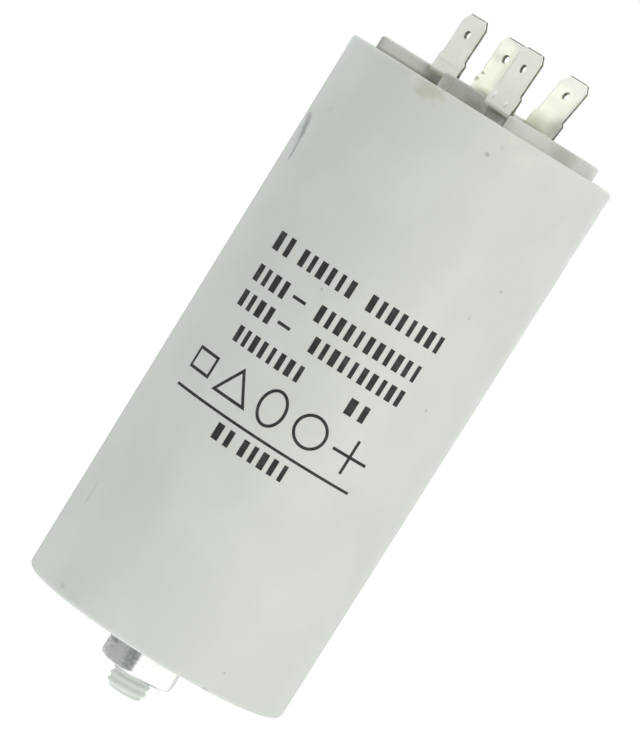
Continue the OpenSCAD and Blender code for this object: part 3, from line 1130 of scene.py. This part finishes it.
@dataclass
class Dressing:
    """Finishes of the solids that show as they are, and of the ones inside the can."""

    lid: PlasticFinish = PlasticFinish(
        "lid_grey_plastic", srgb(232, 236, 231), srgb(224, 228, 222),
        marks=(
            # Painted shade on the block's front: in the notch behind tab 3, below it and across the face
            Patch((6.4, -4.0, 103.5), (3.8, 1.0, 2.4), 0.40),
            Patch((1.5, -4.0, 102.6), (5.0, 1.0, 2.2), 0.45),
            Patch((0.0, -4.0, 104.0), (12.0, 1.0, 4.0), 0.40, 0.6, 0.3),
            # Darker patches on the right ear's wall
            Patch((20.0, -2.0, 103.5), (5.0, 16.0, 5.0), 0.14, 0.3, 0.5),
            Patch((21.2, -0.6, 103.9), (2.5, 4.8, 2.6), 0.36, 0.7, 0.1),
            Patch((17.6, -11.9, 103.7), (1.6, 1.6, 2.0), 0.26, 0.6, 0.1),
            # Painted shade in the gap behind tab 1
            Patch((-17.4, 3.4, 103.2), (1.0, 2.6, 2.6), 0.42, 0.6, 0.2),
            # A darker patch at the left ear's far end
            Patch((-17.4, -12.7, 103.9), (1.0, 2.3, 3.0), 0.52, 0.6, 0.1),
            # Painted shadow line along the left ear's foot, where it meets the can's rim
            Patch((-17.4, -6.0, 102.5), (1.0, 60.0, 0.8), 0.50, 0.3, 0.2),
            # Painted shade on the block's front near its left end
            Patch((-6.6, -4.0, 103.9), (2.6, 1.0, 2.4), 0.16, 0.6, 0.2),
        ),
    )
    seal: PlasticFinish = PlasticFinish(
        "sealing_resin", srgb(202, 206, 199), srgb(188, 192, 184), (0.2, 0.35),
        cloud_scale=240.0,
        grain_scale=900.0,
        grain_depth=0.0001,
    )
    zinc: MetalFinish = MetalFinish(
        "zinc_plate", srgb(250, 251, 250), srgb(243, 245, 243), (0.34, 0.42), 900.0,
        brush=(1.0, 1.0, 3.0),
        relief=0.00004,
        mark=srgb(104, 115, 112),
        marks=(
            # Painted shade on the nut's left facet, mottled and darkest at its top under the can's base
            Patch((0.6, -6.5, -2.8), (6.0, 1.2, 6.5), 0.40, 1.2, 0.4),
            Patch((3.9, -6.0, -2.6), (3.0, 0.8, 7.0), 0.62, 0.6, 0.1),
            Patch((-0.6, -6.7, -0.8), (4.4, 1.2, 3.2), 0.62, 1.9, 0.2),
            # Painted shade on the lower chamfer of the nut's right facet
            Patch((7.0, -2.0, -6.3), (4.0, 5.0, 0.75), 0.85, 0.1, 0.4),
        ),
    )
    film: PlasticFinish = PlasticFinish("wound_film", srgb(196, 203, 210), srgb(180, 188, 196), (0.2, 0.3))
    core: PlasticFinish = PlasticFinish("core_plastic", srgb(224, 221, 208), srgb(214, 210, 196))
    spray: MetalFinish = MetalFinish(
        "sprayed_zinc", srgb(150, 150, 150), srgb(112, 112, 112), (0.6, 0.8), 1500.0, relief=0.0002
    )
    ribbon: MetalFinish = MetalFinish(
        "tinned_copper", srgb(222, 206, 182), srgb(198, 178, 150), (0.3, 0.45), 300.0
    )
    sleeve: PlasticFinish = PlasticFinish("wire_sleeve", srgb(150, 44, 38), srgb(132, 36, 32), (0.35, 0.5))
    potting: PlasticFinish = PlasticFinish(
        "potting_resin", srgb(168, 164, 128), srgb(150, 146, 110), (0.2, 0.35)
    )

    def dress(self, nodes: dict[str, bpy.types.Object]) -> None:
        """Give each solid that no new piece stands for its finish.

        Args:
            nodes: The frame's solids by name.
        """
        worn: dict[str, Union[PlasticFinish, MetalFinish]] = {
            "lid": self.lid,
            "seal_resin": self.seal,
            "hex_nut": self.zinc,
            "winding": self.film,
            "winding_core": self.core,
            "end_spray_top": self.spray,
            "end_spray_bottom": self.spray,
            "lead_top": self.ribbon,
            "lead_bottom": self.sleeve,
            "potting_resin": self.potting,
        }
        made: dict[str, bpy.types.Material] = {}
        for name, finish in worn.items():
            if finish.name not in made:
                made[finish.name] = finish.material()
            wear(nodes[name], made[finish.name])
            LOG.info("%s wears %s", name, finish.name)


@dataclass(frozen=True)
class Lamp:
    """A soft square lamp, placed round the object by its azimuth from -Y and its elevation."""

    name: str
    azimuth: float
    elevation: float
    distance: float
    size: float
    power: float
    tint: tuple[float, float, float] = (1.0, 1.0, 1.0)


@dataclass
class Studio:
    """Pale floor, soft light and the camera."""

    floor_z: float = -0.06
    floor_size: float = 40.0
    floor_cells: int = 4
    paper: Colour = srgb(232, 233, 232)
    paper_roughness: float = 0.9
    glow: float = 0.56
    glow_reach: Span = (0.03, 0.13)
    aim: Vector = field(default_factory=lambda: Vector((0, 0, 0.052)))
    camera_azimuth: float = 45.0
    camera_distance: float = 0.8549
    camera_height: float = 0.105
    camera_tilt: float = 3.5408
    camera_yaw: float = -0.0109
    camera_roll: float = 31.976
    lens: float = 249.97
    sensor_width: float = 36.0
    clip: Span = (0.01, 100.0)
    sky_front: float = 0.69
    sky_behind: float = 1.18
    behind_band: Span = (0.1, 0.8)
    sky_zenith: float = 0.6
    zenith_band: Span = (0.3, 0.9)
    lamps: tuple[Lamp, ...] = (
        Lamp("key_lamp", 93.5, 1, 0.6, 0.12, 0.31, (1.0, 0.96, 0.92)),
        Lamp("high_lamp", 85, 45, 0.9, 0.5, 1.4, (1.0, 0.93, 0.90)),
        Lamp("top_lamp", 20, 75, 0.9, 0.6, 0.9),
        Lamp("left_panel", -47, 25, 0.9, 0.5, 0.285, (1.0, 1.0, 0.96)),
        Lamp("back_panel", -150, 6, 0.9, 0.4, 0.5),
    )

    def floor(self) -> bpy.types.Object:
        """Lay a wide pale floor that glows below the object and that the camera sees as plain white.

        Returns:
            The floor.
        """
        Bench.clear()
        bpy.ops.mesh.primitive_grid_add(
            x_subdivisions=self.floor_cells, y_subdivisions=self.floor_cells, size=self.floor_size
        )
        obj = bpy.context.object
        obj.name = "studio_floor"
        Bench.reshape(obj, lambda place: place + Vector((0, 0, self.floor_z)))
        g = Graph("floor_paper")
        g.set("Base Color", self.paper)
        g.set("Roughness", self.paper_roughness)
        g.set("Emission Color", WHITE)
        seen = g.tree.nodes.new("ShaderNodeLightPath").outputs["Is Camera Ray"]
        far = g.vector("LENGTH", g.vector("MULTIPLY", g.place, (1.0, 1.0, 0.0)))
        g.set("Emission Strength", g.maths("MAXIMUM", seen, g.fade(far, *self.glow_reach, self.glow, 0.0)))
        wear(obj, g.material)
        return obj

    def surround(self) -> None:
        """Light the scene from all round, brighter behind the object and dimmer overhead, on plain white."""
        world = bpy.data.worlds.new("studio")
        bpy.context.scene.world = world
        world.use_nodes = True
        nodes, links = world.node_tree.nodes, world.node_tree.links
        nodes.clear()
        way = nodes.new("ShaderNodeTexCoord").outputs["Generated"]
        light, white = nodes.new("ShaderNodeBackground"), nodes.new("ShaderNodeBackground")
        for shader in (light, white):
            shader.inputs["Color"].default_value = WHITE
        links.new(self.sky(nodes, links, way), light.inputs["Strength"])
        white.inputs["Strength"].default_value = 1.0
        mix = nodes.new("ShaderNodeMixShader")
        out = nodes.new("ShaderNodeOutputWorld")
        links.new(nodes.new("ShaderNodeLightPath").outputs["Is Camera Ray"], mix.inputs["Fac"])
        links.new(light.outputs["Background"], mix.inputs[1])
        links.new(white.outputs["Background"], mix.inputs[2])
        links.new(mix.outputs["Shader"], out.inputs["Surface"])

    def sky(self, nodes: bpy.types.Nodes, links: bpy.types.NodeLinks, way: Socket) -> Socket:
        """Brightness of the sky in each direction.

        Args:
            nodes: The world's nodes.
            links: The world's links.
            way: The direction looked in.

        Returns:
            The brightness.
        """
        a = math.radians(self.camera_azimuth)
        behind, overhead = (-math.sin(a), math.cos(a), 0.0), (0.0, 0.0, 1.0)
        fades = (
            (behind, *self.behind_band, self.sky_front, self.sky_behind),
            (overhead, *self.zenith_band, 1.0, self.sky_zenith),
        )
        shares = []
        for axis, *ends in fades:
            dot, fade = nodes.new("ShaderNodeVectorMath"), nodes.new("ShaderNodeMapRange")
            dot.operation = "DOT_PRODUCT"
            links.new(way, dot.inputs[0])
            dot.inputs[1].default_value = axis
            fade.interpolation_type = "SMOOTHSTEP"
            links.new(dot.outputs["Value"], fade.inputs["Value"])
            for name, value in zip(("From Min", "From Max", "To Min", "To Max"), ends):
                fade.inputs[name].default_value = value
            shares.append(fade.outputs["Result"])
        both = nodes.new("ShaderNodeMath")
        both.operation = "MULTIPLY"
        for share, socket in zip(shares, both.inputs):
            links.new(share, socket)
        return both.outputs["Value"]

    def lamp(self, lamp: Lamp) -> None:
        """Hang one soft lamp that faces the object.

        Args:
            lamp: The lamp.
        """
        Bench.clear()
        a, e = math.radians(lamp.azimuth), math.radians(lamp.elevation)
        away = Vector((math.sin(a) * math.cos(e), -math.cos(a) * math.cos(e), math.sin(e)))
        bpy.ops.object.light_add(type="AREA", location=self.aim + away * lamp.distance)
        obj = bpy.context.object
        obj.name = lamp.name
        obj.rotation_euler = (-away).to_track_quat("-Z", "Y").to_euler()
        obj.data.shape = "SQUARE"
        obj.data.size = lamp.size
        obj.data.energy = lamp.power
        obj.data.color = lamp.tint

    def camera(self) -> None:
        """Set the camera level with the lid, looking a little down and rolled so that the can leans."""
        a, tilt = math.radians(self.camera_azimuth), math.radians(self.camera_tilt)
        yaw, roll = math.radians(self.camera_yaw), math.radians(self.camera_roll)
        back = Vector((math.sin(a), -math.cos(a), 0))
        across = Vector((math.cos(a), math.sin(a), 0))
        look = -back * math.cos(tilt) - Vector((0, 0, math.sin(tilt)))
        look = (look * math.cos(yaw) + across * math.sin(yaw)).normalized()
        right = look.cross(Vector((0, 0, 1))).normalized()
        up = right.cross(look)
        side = right * math.cos(roll) + up * math.sin(roll)
        head = up * math.cos(roll) - right * math.sin(roll)
        turn = Matrix((side, head, -look)).transposed().to_4x4()
        Bench.clear()
        bpy.ops.object.camera_add()
        obj = bpy.context.object
        obj.name = "studio_camera"
        stand = back * self.camera_distance + Vector((0, 0, self.camera_height))
        obj.matrix_world = Matrix.Translation(stand) @ turn
        obj.data.sensor_width = self.sensor_width
        obj.data.lens = self.lens
        obj.data.clip_start, obj.data.clip_end = self.clip
        bpy.context.scene.camera = obj

    def build(self) -> None:
        """Set up the floor, the light, the camera and the plain colour curve."""
        self.floor()
        self.surround()
        for lamp in self.lamps:
            self.lamp(lamp)
        self.camera()
        bpy.context.scene.view_settings.view_transform = "Standard"


def main() -> None:
    """Build every piece in order and report it."""
    logging.basicConfig(level=logging.INFO, format="%(name)s: %(message)s")
    can = Can()
    pieces = [can.build(), Print(can).build(), *Terminals().build(frame["nodes"])]
    for piece in pieces:
        LOG.info("%s has %d faces", piece.name, len(piece.data.polygons))
    Dressing().dress(frame["nodes"])
    Studio().build()


if __name__ == "__main__":
    main()
